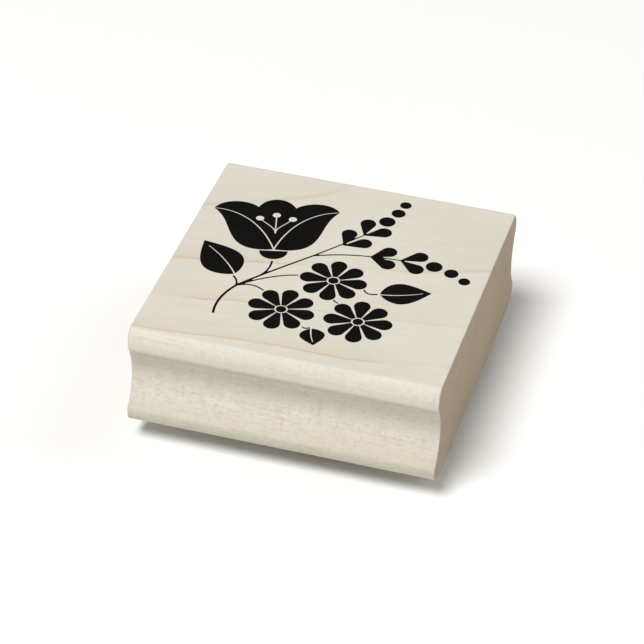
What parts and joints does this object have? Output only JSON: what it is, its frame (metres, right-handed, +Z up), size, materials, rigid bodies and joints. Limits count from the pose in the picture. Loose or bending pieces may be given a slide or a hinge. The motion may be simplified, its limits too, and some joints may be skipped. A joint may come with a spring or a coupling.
{
  "type": "wood-mounted rubber stamp",
  "caption": "Square wooden stamp block with coved sides, a flower design printed on top and the same design as a rubber die on a foam cushion underneath.",
  "frame": {"origin": "centre of the stamp's footprint, at the print face of the die", "axes": "+Z up through the block, +X along its moulding, -Y its front"},
  "size_m": [0.0762, 0.0808, 0.0327],
  "materials": {
    "maple": "sanded bare maple with faint growth lines along X",
    "black_ink": "flat black printing ink",
    "adhesive_film": "thin pale adhesive film",
    "foam": "fine closed-cell foam, matt",
    "die_rubber": "moulded rubber, matt"
  },
  "bodies": {
    "block": {"wood_block": "maple", "print_tulip": "black_ink", "print_daisies": "black_ink", "print_leaves": "black_ink", "print_sprigs": "black_ink", "print_berries": "black_ink", "block_adhesive": "adhesive_film", "foam_cushion": "foam"},
    "die": {"die_adhesive": "adhesive_film", "rubber_die": "die_rubber"}
  },
  "joints": [
    {"name": "cushion_press", "type": "slide", "parent": "block", "child": "die", "axis": [0, 0, 1], "range_m": [0, 0.0006], "stiffness_N_per_m": 2000, "springref_m": -0.001, "deforming": ["foam_cushion"]}
  ]
}
